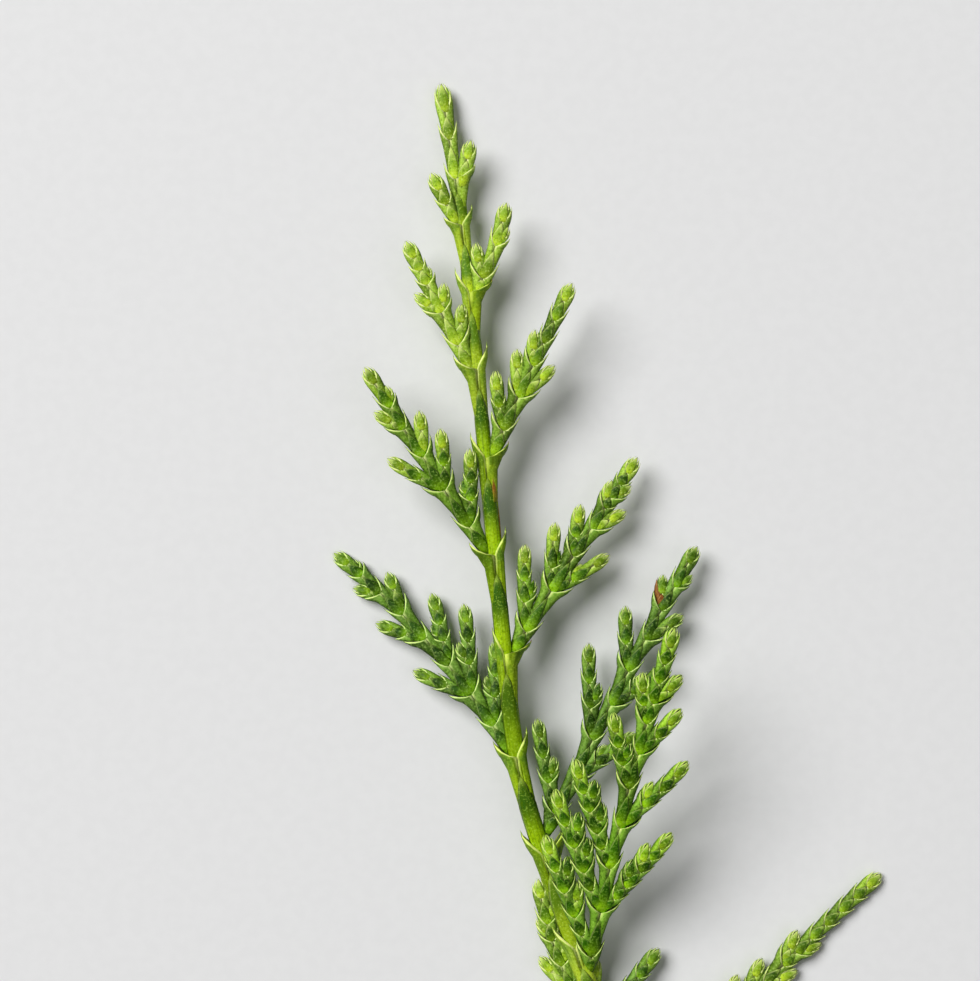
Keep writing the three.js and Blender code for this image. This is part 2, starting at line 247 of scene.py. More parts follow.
def girth(axis, reach):
    # half width and half thickness: a twig thickens from its root, thins to its tip and ends round
    twig = twigForm
    end = np.clip((reach - axis["length"] + twig["roundEnd"]) / twig["roundEnd"], 0, 1)
    close = (1 - twig["tipShut"] * end ** twig["tipBlunt"]) ** twig["tipRound"]
    if axis["rank"] == "stem":
        form = stemForm
        bare = mix(form["cutRadius"], form["topRadius"], reach / form["bareHeight"])
        leafy = smooth((reach - form["leafyFrom"]) / form["leafyOver"])
        wide = mix(bare, form["leafyWide"], leafy)
        thick = mix(bare * form["thickShare"], form["leafyThick"], leafy)
        return wide * close, thick * close
    rootGirth, rootLength = twig["mainRoot"] if axis["rank"] == "main" else twig["twigRoot"]
    root = mix(rootGirth, 1, smooth(reach / rootLength))
    taper = mix(1, twig["tipTaper"], np.clip(reach / axis["length"], 0, 1))
    size = axis["girth"] * taper * root * close
    return twig["halfWidth"] * size, twig["halfThick"] * size


# A leaf's form: how far round the axis it wraps to each side, how its free part narrows (close, point), how
# high it lies on the axis at its root and its tip, how much its back swells, how far its free part stands off
# the front and back (bulge), how much further it leans out half way than a straight lean (hump), how late its
# margins follow that lean, and how its base swells up to the node (lead below it, steep, share reached there)
usualLeaf = {
    "wrap": 89, "close": 0.7, "point": 0.72, "low": 0.8, "high": 1.0, "swell": 0.06, "bulge": 0, "hump": 0,
    "follow": 0.3, "lead": 1.0, "steep": 1.5, "atNode": 0.45,
}
leafForms = {
    "flank": {"close": 0.66},
    "bract": {"close": 0.9, "high": 1.02, "swell": 0.08, "bulge": 0.35, "hump": 0.1,
              "lead": 2.2, "steep": 2.2},
    "face": {"wrap": 58, "close": 1.15, "point": 1.0, "low": 0.86, "swell": 0.08},
    "budFlank": {"close": 0.72, "point": 0.66, "high": 1.06},
    "budFace": {"wrap": 46, "close": 1.7, "point": 0.6, "low": 0.88, "high": 1.1, "swell": 0.1},
    "budInner": {"wrap": 62, "close": 1.6, "point": 0.6, "high": 1.1, "swell": 0.1},
    "stemFlank": {"close": 1.2, "low": 0.92, "high": 1.02, "swell": 0.04, "bulge": 0.1, "hump": 0.5,
                  "follow": 1.0, "lead": 4.0, "steep": 1.2, "atNode": 0.35},
    "stemBract": {"close": 0.9, "low": 0.92, "high": 1.04, "swell": 0.05, "bulge": 0.5, "hump": 0.1,
                  "lead": 4.6, "steep": 4.0, "atNode": 0.62},
    "stemFace": {"wrap": 87, "close": 0.95, "point": 0.85, "low": 0.94, "high": 1.06, "swell": 0.03},
    "rustPatch": {"wrap": 24, "close": 1.0, "point": 0.8, "low": 1.12, "high": 1.16, "swell": 0.03},
    "rustLine": {"wrap": 14, "close": 1.0, "point": 0.8, "low": 1.04, "high": 1.05, "swell": 0.02},
}

# Where leaves stand: gaps between pairs, then bracts, side leaves, face leaves and buds, and the rusty marks
# on the stem with the root, node and tip of each and its place round the stem
leafSpacing = {
    "firstPair": 0.3, "mainFirst": 1.5, "budLength": 1.7, "budLeast": 0.35, "gapAtTip": 1.35,
    "gapBelow": 1.85, "gapFade": 5, "forkGap": 3.9, "stemExtra": (18.9, 87.9, 90.3), "overlap": 1.05,
    "bractReach": 2.0, "bractLeast": 0.5, "bractShare": 0.45, "bractBeside": 0.9, "bractFree": 0.5,
    "bractOut": 0.1, "stemBractBeside": 0.72, "stemBractFree": 0.8, "stemBractOut": 0.2,
    "flankFree": 0.78, "longestFree": 1.75, "stemFlankFree": 2.4, "stemFlankShare": 0.45, "mainFlare": 0.15,
    "twigFlare": {"young": 0.06, "half": 0.07, "middle": 0.08, "deep": 0.12, "front": 0.13},
    "mainFaceReach": 0.86, "twigFaceReach": 0.98, "longGap": 2.2, "faceWidest": 0.32, "faceRoot": 0.08,
    "stemFaceGap": 1.6, "stemFaceLeast": 0.7, "stemFaceWidest": 0.3, "stemFaceHead": 2.9, "stemFaceRoot": 0.3,
    "mainFaceFrom": 1.2, "twigFaceFrom": -0.2, "lowFaceReach": 0.97,
    "budFlankShort": 0.24, "budInnerBack": 0.95, "budInnerPast": 0.06,
    "rust": (("rustPatch", 56.8, 58.2, 59.6, 40), ("rustLine", 53.4, 55.4, 57.2, 4)),
}
leafGroups = {
    "young": ("spray_right_1", "spray_left_1", "spray_right_2", "spray_left_2"),
    "half": ("spray_right_3", "spray_right_7", "spray_left_5"),
    "middle": ("spray_left_3", "spray_right_4"),
    "deep": ("spray_left_4", "spray_right_5", "spray_right_6"),
    "front": ("spray_front",),
    "stem": ("stem",),
}
groupOf = {spray: group for group, names in leafGroups.items() for spray in names}


def pairGap(fromTip):  # pairs stand closer towards the tip
    return mix(leafSpacing["gapAtTip"], leafSpacing["gapBelow"], smooth(fromTip / leafSpacing["gapFade"]))


def leafNodes(axis):
    # every fork has a pair of side leaves, and the stretches between are shared out
    spacing, length = leafSpacing, axis["length"]
    forks = sorted({fork["at"] for fork in axis["forks"]})
    if axis["rank"] == "stem":
        return np.array(sorted({*forks, *spacing["stemExtra"]}))
    last = max(length - spacing["budLength"], spacing["budLeast"] * length)
    first = spacing["mainFirst"] if axis["rank"] == "main" else spacing["firstPair"]
    marks = [first] + [fork for fork in forks if first < fork < last] + [last]
    nodes = []
    for low, high in zip(marks, marks[1:]):
        usual = pairGap(length - (low + high) / 2)
        if axis["rank"] == "main" and high != last:
            usual = spacing["forkGap"]
        count = max(1, round((high - low) / usual))
        gaps = pairGap(length - low - (high - low) * (np.arange(count) + 0.5) / count)
        nodes += list(low + (high - low) * np.cumsum(gaps) / gaps.sum())
    return np.array(nodes)


def bractLie(axis, node, fork):
    # a bract lies along the outer side of its twig: how far up it is free, and how far out it leans
    spacing = leafSpacing
    reach = min(spacing["bractReach"], spacing["bractLeast"] + spacing["bractShare"] * fork["bears"])
    beside = spacing["bractBeside"] * twigForm["halfWidth"]
    angle = math.radians(fork["angle"])
    free = reach * math.cos(angle) - beside * math.sin(angle)
    out = reach * math.sin(angle) + beside * math.cos(angle) - girth(axis, np.array(node))[0]
    return max(spacing["bractFree"], free), max(spacing["bractOut"], out)


def stemBractLie(node, fork):
    # the same for the stem's own leaf, and how far it rises: its tip lies beside the spray that it bears
    spacing = leafSpacing
    point, side, face, along = frameAt(fork["main"], fork["reach"])
    tip = point + fork["hand"] * spacing["stemBractBeside"] * side
    point, side, face, along = frameAt(stemAxis, node)
    free, out = (tip - point) @ along, fork["hand"] * (tip - point) @ side
    out = out - girth(stemAxis, np.array(node + free))[0]
    return max(spacing["stemBractFree"], free), max(spacing["stemBractOut"], out), (tip - point) @ face


# A row tells one leaf: its form, its root, node and tip along the axis, its place round the axis, how far it
# leans out (flare) and up (rise), and whether it is in an axis's last pair, on the bare stem, or dried
usualRow = {"flare": 0.0, "rise": 0.0, "final": False, "woody": False, "dried": False}


def sideLeaf(axis, node, hand, below, above, forks, common):
    # pressed to its axis, or leaning out beside the twig or spray that it bears
    spacing, stem = leafSpacing, axis["rank"] == "stem"
    fork = forks.get((round(node, 4), hand))
    form, free, rise = "flank", min(spacing["longestFree"], spacing["flankFree"] * above), 0.0
    flare = spacing["mainFlare"]
    if axis["rank"] in ("twig", "bud"):
        flare = spacing["twigFlare"][groupOf[axis["spray"]]]
    if stem and fork:
        form = "stemBract"
        free, flare, rise = stemBractLie(node, fork)
    elif common["woody"]:
        form, free = "stemFlank", min(spacing["stemFlankFree"], spacing["stemFlankShare"] * above)
        flare = forks.get((round(node, 4), -hand), usualSpray)["opposite"]
    elif fork:
        form = "bract"
        free, flare = bractLie(axis, node, fork)
    elif common["final"]:
        form, free = "budFlank", above - spacing["budFlankShort"]
    root = node - spacing["overlap"] * below
    return {**common, "form": form, "root": max(0, root) if stem else root, "node": node, "tip": node + free,
            "around": 0 if hand > 0 else 180, "flare": flare, "rise": rise,
            "dried": bool(common["woody"] and fork and fork["dried"])}


def faceLeaf(length, node, below, above, common):
    # on a twig up to the next pair or the bud's end; on the bare stem long, with a short head
    spacing = leafSpacing
    if common["woody"]:
        tip = node + max(above - spacing["stemFaceGap"], spacing["stemFaceLeast"] * above)
        widest = max(mix(node, tip, spacing["stemFaceWidest"]), tip - spacing["stemFaceHead"])
        root = node - spacing["stemFaceRoot"] * below
        return {**common, "form": "stemFace", "root": root, "node": widest, "tip": tip}
    reach = spacing["twigFaceReach"] if above < spacing["longGap"] else spacing["mainFaceReach"]
    tip = length if common["final"] else node + reach * above
    return {**common, "form": "budFace" if common["final"] else "face", "root": node - spacing["faceRoot"],
            "node": mix(node, tip, spacing["faceWidest"]), "tip": tip}


def leafRows(axis):
    # at each node two side and two face leaves; more face leaves below the first, and two more inside the bud
    spacing, length = leafSpacing, axis["length"]
    nodes = leafNodes(axis)
    forks = {(round(fork["at"], 4), fork["hand"]): fork for fork in axis["forks"]}
    rows = []
    for index, node in enumerate(nodes):
        final = index + 1 == len(nodes)
        below = node - (nodes[index - 1] if index else 0)
        above = (length if final else nodes[index + 1]) - node
        woody = axis["rank"] == "stem" and node < stemForm["bareHeight"]
        common = {**usualRow, "final": final, "woody": woody}
        for hand in (1, -1):
            rows.append(sideLeaf(axis, node, hand, below, above, forks, common))
        for around in (90, -90):
            rows.append({**faceLeaf(length, node, below, above, common), "around": around})
            if index == 0 and not woody:
                root = spacing["mainFaceFrom"] if axis["rank"] == "main" else spacing["twigFaceFrom"]
                rows.append({**common, "form": "face", "root": root, "node": mix(root, node, 0.5),
                             "tip": spacing["lowFaceReach"] * node, "around": around})
        if final:
            inner = {**common, "form": "budInner", "root": node, "node": length - spacing["budInnerBack"],
                     "tip": length + spacing["budInnerPast"]}
            rows += [{**inner, "around": around} for around in (0, 180)]
    if axis["rank"] == "stem":
        rows += [{**usualRow, "woody": True, "form": form, "root": root, "node": node, "tip": tip,
                  "around": around} for form, root, node, tip, around in spacing["rust"]]
    return rows


# A leaf is a closed shell. Along runs from root to tip with its node at half way; round its section the angle
# runs over the back from one margin to the other and returns underneath. Its lean grows as a power of the way
# past the node, its bulge begins a little below the node, and its back's swell ends just short of the tip. On
# the map a leaf is mapWidth wide and begins at mapEdge.
leafGrid = {
    "along": np.array([0.03, 0.25, 0.44, 0.5, 0.56, 0.7, 0.88]), "node": 0.5,
    "round": np.append(np.arccos([1, 0.6, 0.2, -0.2, -0.6, -1]), 1.5 * np.pi), "thick": 0.14,
    "leanPower": 0.8, "bulgeBelow": 0.5, "bulgeOver": 1.0, "swellEnd": 0.95, "swellPower": 0.7,
    "mapEdge": 0.01, "mapWidth": 0.48,
}


def closedSides(rings, around):
    # quads between rings and a fan of triangles to a root point and a tip point, which come after the rings
    row, column = np.meshgrid(np.arange(rings - 1), np.arange(around), indexing="ij")
    beside = (column + 1) % around
    low, high = row * around, (row + 1) * around
    quads = np.stack([low + column, high + column, high + beside, low + beside], -1).reshape(-1, 4)
    column = np.arange(around)
    beside = (column + 1) % around
    top = (rings - 1) * around
    root = np.stack([np.full(around, rings * around), column, beside], -1)
    tip = np.stack([np.full(around, rings * around + 1), top + beside, top + column], -1)
    return quads, np.concatenate([root, tip])


def leafShells(axis, rows):
    # angle = place round the axis + wrap times cos, narrowing as (1 - past^close)^point beyond the node;
    # radius goes from low to high along the leaf, plus the swell times sin. The leaf leans out by its flare
    # and up by its rise: partly at the node, where its base has swollen, and fully at the tip, its margins
    # after its back.
    grid = leafGrid
    root, node, tip, around, flare, rise = (
        np.array([row[key] for row in rows], float)[:, None]
        for key in ("root", "node", "tip", "around", "flare", "rise"))
    forms = [{**usualLeaf, **leafForms[row["form"]]} for row in rows]
    form = {key: np.array([each[key] for each in forms])[:, None] for key in usualLeaf}
    share, section = grid["along"][None, :], grid["round"]
    past = np.clip((share - grid["node"]) / (1 - grid["node"]), 0, 1)
    reach = np.where(past > 0, mix(node, tip, past), mix(root, node, share / grid["node"]))
    point, side, face, along = pathFrame(axis, reach)
    wide, thick = girth(axis, reach)

    # how it wraps and swells
    middle = np.radians(around)
    wrap = np.radians(form["wrap"]) * (1 - past ** form["close"]) ** form["point"]
    angle = middle[..., None] + wrap[..., None] * np.cos(section)
    lift = mix(form["low"], form["high"], share)
    swell = form["swell"] * np.sin(np.pi * np.minimum(1, share / grid["swellEnd"])) ** grid["swellPower"]
    depth = np.where(np.sin(section) > 0, swell[..., None], grid["thick"])
    radius = lift[..., None] + depth * np.sin(section)
    bulge = form["bulge"] * np.clip((reach - node + grid["bulgeBelow"]) / grid["bulgeOver"], 0, 1)
    thick = thick * (1 + bulge)

    # how it leans
    swelling = np.clip(1 + (reach - node) / form["lead"], 0, 1) ** form["steep"]
    stand = form["atNode"] * swelling + (1 - form["atNode"]) * past ** grid["leanPower"]
    stand = stand * (1 + form["hump"] * np.sin(np.pi * past))
    sideward = np.maximum(0, np.cos(angle - middle[..., None]))
    lean = stand[..., None] * mix(sideward, 1, (past ** form["follow"])[..., None])
    across = wide[..., None] * radius * np.cos(angle) + (flare * np.cos(middle))[..., None] * lean
    upward = thick[..., None] * radius * np.sin(angle) + (flare * np.sin(middle) + rise)[..., None] * lean
    shell = point[:, :, None] + side[:, :, None] * across[..., None] + face[:, :, None] * upward[..., None]

    # the point at its tip
    point, side, face, along = pathFrame(axis, tip[:, 0])
    wide, thick = girth(axis, tip[:, 0])
    across = (wide * form["high"][:, 0] + flare[:, 0]) * np.cos(middle[:, 0])
    upward = (thick * form["high"][:, 0] + flare[:, 0]) * np.sin(middle[:, 0]) + rise[:, 0]
    end = point + side * across[:, None] + face * upward[:, None]
    return np.concatenate([shell.reshape(len(rows), -1, 3), shell[:, :1].mean(2), end[:, None]], 1)


def leafMap(rows):  # across and along; side leaves have the left half of the map, face leaves the right
    along, section = np.meshgrid(leafGrid["along"], leafGrid["round"], indexing="ij")
    one = np.stack([(np.cos(section) + 1) / 2, along], -1).reshape(-1, 2)
    one = np.concatenate([one, [[0.5, 0], [0.5, 1]]])
    half = np.array([0.5 if abs(row["around"]) == 90 else 0.0 for row in rows])
    across = leafGrid["mapEdge"] + leafGrid["mapWidth"] * one[None, :, 0] + half[:, None]
    return np.stack([across, np.broadcast_to(one[None, :, 1], across.shape)], -1)


def makePiece(name, points, quads, tris, uv, values, material, slot, replaced=()):
    # a mesh from whole arrays, with its map and its values for each point, riding on the shoot
    mesh = bpy.data.meshes.new(name)
    mesh.vertices.add(len(points))
    mesh.vertices.foreach_set("co", (points * mm).astype(np.float32).ravel())
    corners = np.concatenate([quads.ravel(), tris.ravel()]).astype(np.int32)
    starts = np.concatenate([np.arange(len(quads)) * 4, len(quads) * 4 + np.arange(len(tris)) * 3])
    mesh.loops.add(len(corners))
    mesh.loops.foreach_set("vertex_index", corners)
    mesh.polygons.add(len(starts))
    mesh.polygons.foreach_set("loop_start", starts.astype(np.int32))
    mesh.polygons.foreach_set("use_smooth", np.ones(len(starts), bool))
    for layer in ("leafMap", "OFBake"):  # the materials' map, and the same again as the bake map
        mesh.uv_layers.new(name=layer).data.foreach_set("uv", uv[corners].astype(np.float32).ravel())
    for key, value in values.items():
        mesh.attributes.new(key, "FLOAT", "POINT").data.foreach_set("value", value.astype(np.float32))
    mesh.update(calc_edges=True)
    mesh.validate()
    mesh.materials.append(material)
    piece = bpy.data.objects.new(name, mesh)
    bpy.context.scene.collection.objects.link(piece)
    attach(piece, "root")
    if replaced:
        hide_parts(*replaced)
    print("made", name, len(points), "points,", 2 * len(quads) + len(tris), "triangles")


def linear(colour):  # screen colour, 0 to 255, to the shader's own
    level = np.array(colour, float) / 255
    return (*np.where(level <= 0.04045, level / 12.92, ((level + 0.055) / 1.055) ** 2.4), 1)


class Nodes:  # a material's node tree, with short words for what these materials need
    def __init__(self, name):
        self.material = bpy.data.materials.new(name)
        self.material.use_nodes = True
        self.tree = self.material.node_tree
        self.shader = self.tree.nodes["Principled BSDF"]

    def add(self, kind, **settings):
        node = self.tree.nodes.new(kind)
        for key, value in settings.items():
            setattr(node, key, value)
        return node

    def put(self, socket, value):
        if hasattr(value, "is_output"):
            self.tree.links.new(value, socket)
        else:
            socket.default_value = value

    def fill(self, node, values):
        for key, value in values.items():
            self.put(node.inputs[key], value)

    def place(self):
        return self.add("ShaderNodeTexCoord").outputs["Object"]

    def map(self):  # across and along on the piece's own map
        parts = self.add("ShaderNodeSeparateXYZ")
        self.put(parts.inputs[0], self.add("ShaderNodeUVMap", uv_map="leafMap").outputs[0])
        return parts.outputs[0], parts.outputs[1]

    def math(self, operation, *values):
        node = self.add("ShaderNodeMath", operation=operation)
        for socket, value in zip(node.inputs, values):
            self.put(socket, value)
        return node.outputs[0]

    def ramp(self, value, low, high, toLow=0.0, toHigh=1.0):
        node = self.add("ShaderNodeMapRange", interpolation_type="SMOOTHSTEP")
        for socket, number in zip(node.inputs, (value, low, high, toLow, toHigh)):
            self.put(socket, number)
        return node.outputs[0]

    def blend(self, share, first, second):  # each a screen colour or a socket
        node = self.add("ShaderNodeMix", data_type="RGBA")
        self.put(node.inputs[0], share)
        for socket, value in ((node.inputs[6], first), (node.inputs[7], second)):
            self.put(socket, linear(value) if isinstance(value, tuple) else value)
        return node.outputs[2]

    def noise(self, vector, scale, detail=2.0, roughness=0.5):
        node = self.add("ShaderNodeTexNoise")
        self.fill(node, {"Vector": vector, "Scale": scale, "Detail": detail, "Roughness": roughness})
        return node.outputs["Fac"]

    def bump(self, height, strength, distance):
        node = self.add("ShaderNodeBump")
        self.fill(node, {"Strength": strength, "Distance": distance, "Height": height})
        return node.outputs[0]


# Noises over the leaves, and the ramps that read them: from, to, and what those two become. Scales are for
# metres, and so are the depths.
leafSkin = {
    "fleckScale": 5200.0, "fleckDetail": 2.0, "fleckRough": 0.6, "cloudScale": 1100.0,
    "streakStretch": (30.0, 3.0, 40.0), "streakScale": 1.0,
    "midLeafFull": 0.5, "bladeEnd": (0.55, 0.95), "clouds": (0.4, 0.62, 0.0, 0.6), "keelShadeWidth": (0.5, 0.1),
    "tones": (0.0, 1.0, 0.0, 0.6), "toneSkew": 1.5, "streaks": (0.48, 0.66),
    "paleFlecksAndSheen": (0.52, 0.72, 0.0, 0.45), "darkFlecks": (0.48, 0.3, 0.0, 0.55),
    "rimAlong": (0.5, 0.95), "rimWidens": 0.3, "rimSoft": (-0.04, 0.1), "rimFrom": (0.4, 0.5, 0.1, 1.0),
    "rimWorn": (0.3, 0.6, 0.65, 1.0), "tipFull": 0.96,
    "roughness": (0.3, 0.7, 0.34, 0.52), "specular": 0.08, "bumpStrength": 0.5, "bumpDepth": 0.00005,
    "subsurface": 0.1, "subsurfaceRadius": (0.5, 0.9, 0.15), "subsurfaceScale": 0.0004,
}


def leafMaterial(name, colours):
    # face leaves: sap green at the root, darker towards the tip; side leaves: green, grey-green below the
    # margin (lighter on the twigs' leaves, partly wax bloom and partly painted sheen), painted shade along
    # the keel; all with pale margins, streaks along them and fine flecks, the pale flecks partly stomata and
    # wax specks and partly painted sheen
    skin = leafSkin
    build = Nodes(name)
    place = build.place()
    leafX, along = build.map()
    tone = build.add("ShaderNodeAttribute", attribute_name="tone").outputs["Fac"]
    facial = build.math("GREATER_THAN", leafX, 0.5)
    half = leafGrid["mapWidth"] / 2
    halves = build.math("MULTIPLY_ADD", leafX, 1 / half, -leafGrid["mapEdge"] / half)
    across = build.math("SUBTRACT", 1.0, build.math("PINGPONG", halves, 1.0))
    fleck = build.noise(place, skin["fleckScale"], skin["fleckDetail"], skin["fleckRough"])
    cloud = build.noise(place, skin["cloudScale"])
    lie = build.add("ShaderNodeCombineXYZ")
    for socket, value, scale in zip(lie.inputs, (leafX, along, tone), skin["streakStretch"]):
        build.put(socket, build.math("MULTIPLY", value, scale))
    streak = build.noise(lie.outputs[0], skin["streakScale"])

    # the colour between root and node: on the twigs' leaves lighter, partly wax bloom and partly painted
    # sheen
    midLeaf = build.ramp(along, colours["midLeafFrom"], skin["midLeafFull"])
    side = build.blend(midLeaf, colours["flank"], colours["midLeaf"])
    side = build.blend(build.ramp(along, *skin["bladeEnd"]), side, colours["blade"])
    side = build.blend(build.ramp(cloud, *skin["clouds"]), side, colours["flank"])
    # painted shade: darker along the keel of the side leaves
    side = build.blend(build.ramp(across, *skin["keelShadeWidth"], 0.0, colours["keelShade"]), side, colours["dark"])
    front = build.blend(build.ramp(along, *colours["bladeTurn"]), colours["sap"], colours["blade"])
    body = build.blend(facial, side, front)
    body = build.blend(build.ramp(tone, *skin["tones"]), body, colours["dark"])
    body = build.blend(build.ramp(streak, *skin["streaks"], 0.0, colours["streak"]), body, colours["dark"])
    # pale flecks: partly stomata and wax specks, partly painted sheen
    body = build.blend(build.ramp(fleck, *skin["paleFlecksAndSheen"]), body, colours["fleck"])
    body = build.blend(build.ramp(fleck, *skin["darkFlecks"]), body, colours["dark"])

    marginTo = colours["marginFrom"] - skin["rimWidens"]
    edge = build.ramp(along, *skin["rimAlong"], colours["marginFrom"], marginTo)
    rim = build.ramp(build.math("SUBTRACT", across, edge), *skin["rimSoft"])
    strength = build.ramp(facial, 0.0, 1.0, colours["marginShare"], colours["faceRim"])
    strength = build.math("MULTIPLY", build.ramp(along, *skin["rimFrom"]), strength)
    strength = build.math("MULTIPLY", build.ramp(cloud, *skin["rimWorn"]), strength)
    colour = build.blend(build.math("MULTIPLY", rim, strength), body, colours["margin"])
    tip = build.ramp(along, colours["tipFrom"], skin["tipFull"], 0.0, colours["tipShare"])
    build.fill(build.shader, {
        "Base Color": build.blend(tip, colour, colours["tip"]),
        "Roughness": build.ramp(fleck, *skin["roughness"]), "Specular IOR Level": skin["specular"],
        "Subsurface Weight": skin["subsurface"], "Subsurface Radius": skin["subsurfaceRadius"],
        "Subsurface Scale": skin["subsurfaceScale"],
        "Normal": build.bump(fleck, skin["bumpStrength"], skin["bumpDepth"])})
    return build.material


# Colours of the leaves, dealt out by spray, and apart for the leaves at the twigs' tips. The numbers say
# where on a leaf the colour between root and node, the margin and the pale tip begin, and how strong the
# margins, the keel's painted shade, the streaks and the tip are. On the twigs' leaves the colour between
# root and node is lighter than the flank, partly wax bloom and partly painted sheen; the fleck colour is
# partly stomata and wax specks and partly painted sheen.
usualColours = {
    "bladeTurn": (0.15, 0.75), "keelShade": 0.85, "midLeafFrom": 0.2, "streak": 0.15, "marginFrom": 0.85,
    "marginShare": 1.0, "faceRim": 0.18, "tipFrom": 0.8, "tipShare": 0.3,
}
stemColours = {
    "bladeTurn": (0.3, 0.54), "keelShade": 0.35, "midLeafFrom": 0.36, "streak": 0.6, "marginFrom": 0.87,
    "faceRim": 0.15,
}
leafColours = {
    "young": {
        "flank": (151, 188, 39), "midLeaf": (179, 216, 82), "blade": (139, 180, 38), "sap": (206, 238, 54),
        "fleck": (223, 246, 134), "dark": (58, 90, 6), "margin": (240, 252, 161), "tip": (232, 251, 139),
        "marginFrom": 0.84, "faceRim": 0.45, "tipFrom": 0.62, "tipShare": 0.6},
    "half": {
        "flank": (106, 143, 27), "midLeaf": (145, 185, 62), "blade": (83, 124, 17), "sap": (162, 204, 29),
        "fleck": (190, 220, 112), "dark": (32, 58, 3), "margin": (234, 252, 153), "tip": (208, 235, 113),
        "marginFrom": 0.84, "faceRim": 0.3, "tipFrom": 0.75, "tipShare": 0.4},
    "middle": {
        "flank": (87, 127, 21), "midLeaf": (139, 183, 58), "blade": (58, 101, 9), "sap": (148, 200, 21),
        "fleck": (172, 206, 99), "dark": (20, 44, 2), "margin": (232, 252, 151), "tip": (198, 227, 100)},
    "middleTip": {
        "flank": (145, 184, 38), "midLeaf": (175, 212, 77), "blade": (138, 176, 34), "sap": (197, 229, 48),
        "fleck": (212, 239, 125), "dark": (54, 86, 6), "margin": (240, 252, 159), "tip": (232, 251, 141),
        "marginFrom": 0.84, "faceRim": 0.45, "tipFrom": 0.62, "tipShare": 0.6},
    "deep": {
        "flank": (78, 117, 21), "midLeaf": (137, 181, 72), "blade": (45, 85, 9), "sap": (131, 183, 24),
        "fleck": (160, 196, 97), "dark": (14, 36, 1), "margin": (222, 250, 146), "tip": (176, 208, 92)},
    "deepTip": {
        "flank": (97, 137, 27), "midLeaf": (135, 176, 62), "blade": (83, 122, 20), "sap": (144, 187, 30),
        "fleck": (176, 210, 102), "dark": (32, 60, 4), "margin": (228, 252, 150), "tip": (208, 237, 119),
        "faceRim": 0.4, "tipFrom": 0.66, "tipShare": 0.55},
    "front": {
        "flank": (95, 147, 16), "midLeaf": (154, 206, 70), "blade": (52, 105, 5), "sap": (165, 223, 22),
        "fleck": (172, 214, 87), "dark": (14, 38, 1), "margin": (230, 252, 141), "tip": (181, 220, 80)},
    "frontTip": {
        "flank": (145, 196, 30), "midLeaf": (183, 233, 70), "blade": (127, 178, 23), "sap": (205, 248, 43),
        "fleck": (200, 235, 104), "dark": (36, 69, 2), "margin": (236, 252, 150), "tip": (222, 251, 116),
        "faceRim": 0.45, "tipFrom": 0.64, "tipShare": 0.6},
    "stem": {
        **stemColours,
        "flank": (156, 190, 18), "midLeaf": (101, 143, 36), "blade": (48, 93, 10), "sap": (167, 207, 11),
        "fleck": (183, 218, 77), "dark": (80, 109, 2), "margin": (234, 252, 130), "tip": (208, 235, 89)},
    "paleStem": {
        **stemColours, "bladeTurn": (0.36, 0.58), "streak": 0.5,
        "flank": (181, 207, 48), "midLeaf": (134, 174, 56), "blade": (90, 133, 27), "sap": (194, 223, 40),
        "fleck": (204, 231, 100), "dark": (92, 121, 10), "margin": (238, 252, 144), "tip": (208, 235, 100)},
    "rustTip": {
        **stemColours, "tipFrom": 0.86, "tipShare": 1.0,
        "flank": (152, 182, 18), "midLeaf": (101, 138, 36), "blade": (73, 108, 19), "sap": (163, 198, 13),
        "fleck": (190, 218, 68), "dark": (82, 104, 6), "margin": (227, 250, 100), "tip": (166, 94, 42)},
    "rust": {
        "flank": (140, 160, 30), "midLeaf": (170, 112, 36), "blade": (150, 112, 34), "sap": (160, 120, 40),
        "fleck": (190, 140, 70), "dark": (96, 66, 14), "margin": (150, 150, 44), "tip": (158, 180, 34),
        "keelShade": 0.2, "midLeafFrom": 0.06, "streak": 0.4, "marginFrom": 0.9, "marginShare": 0.5, "faceRim": 0.5,
        "tipFrom": 0.7, "tipShare": 0.9},
    "dead": {
        "flank": (166, 108, 50), "midLeaf": (190, 132, 66), "blade": (136, 82, 36), "sap": (180, 132, 60),
        "fleck": (204, 150, 84), "dark": (90, 54, 20), "margin": (210, 168, 102), "tip": (150, 92, 44),
        "marginFrom": 0.88, "marginShare": 0.6, "faceRim": 0.5, "tipShare": 0.5},
}
tipKinds = {
    "young": "young", "half": "middleTip", "middle": "middleTip", "deep": "deepTip", "front": "frontTip",
}
stemKinds = ("stem", "paleStem", "rustTip", "rust")

# The dead bud's middle and reach on the page, how many of the side buds have pale tips as the twigs have, and
# the heights that the darker part of the stem lies between
tipForm = {"deadBud": (4.2, 2.2, 0.75), "paleBuds": 0.4, "darkStem": (26, 66)}


def kindOf(axis, row, place):
    # the leaf's kind by its spray, with the tips of the twigs and the dried and rusty leaves apart
    group = groupOf[axis["spray"]]
    x, y, reach = tipForm["deadBud"]
    if row["form"] in ("rustPatch", "rustLine"):
        return "rust"
    if math.hypot(place[0] - x, place[1] - y) < reach:
        return "dead"
    if row["woody"]:
        low, high = tipForm["darkStem"]
        return "rustTip" if row["dried"] else "stem" if low < row["node"] < high else "paleStem"
    if group == "stem":
        return "young"
    return tipKinds[group] if row["final"] and axis["paleTip"] else group


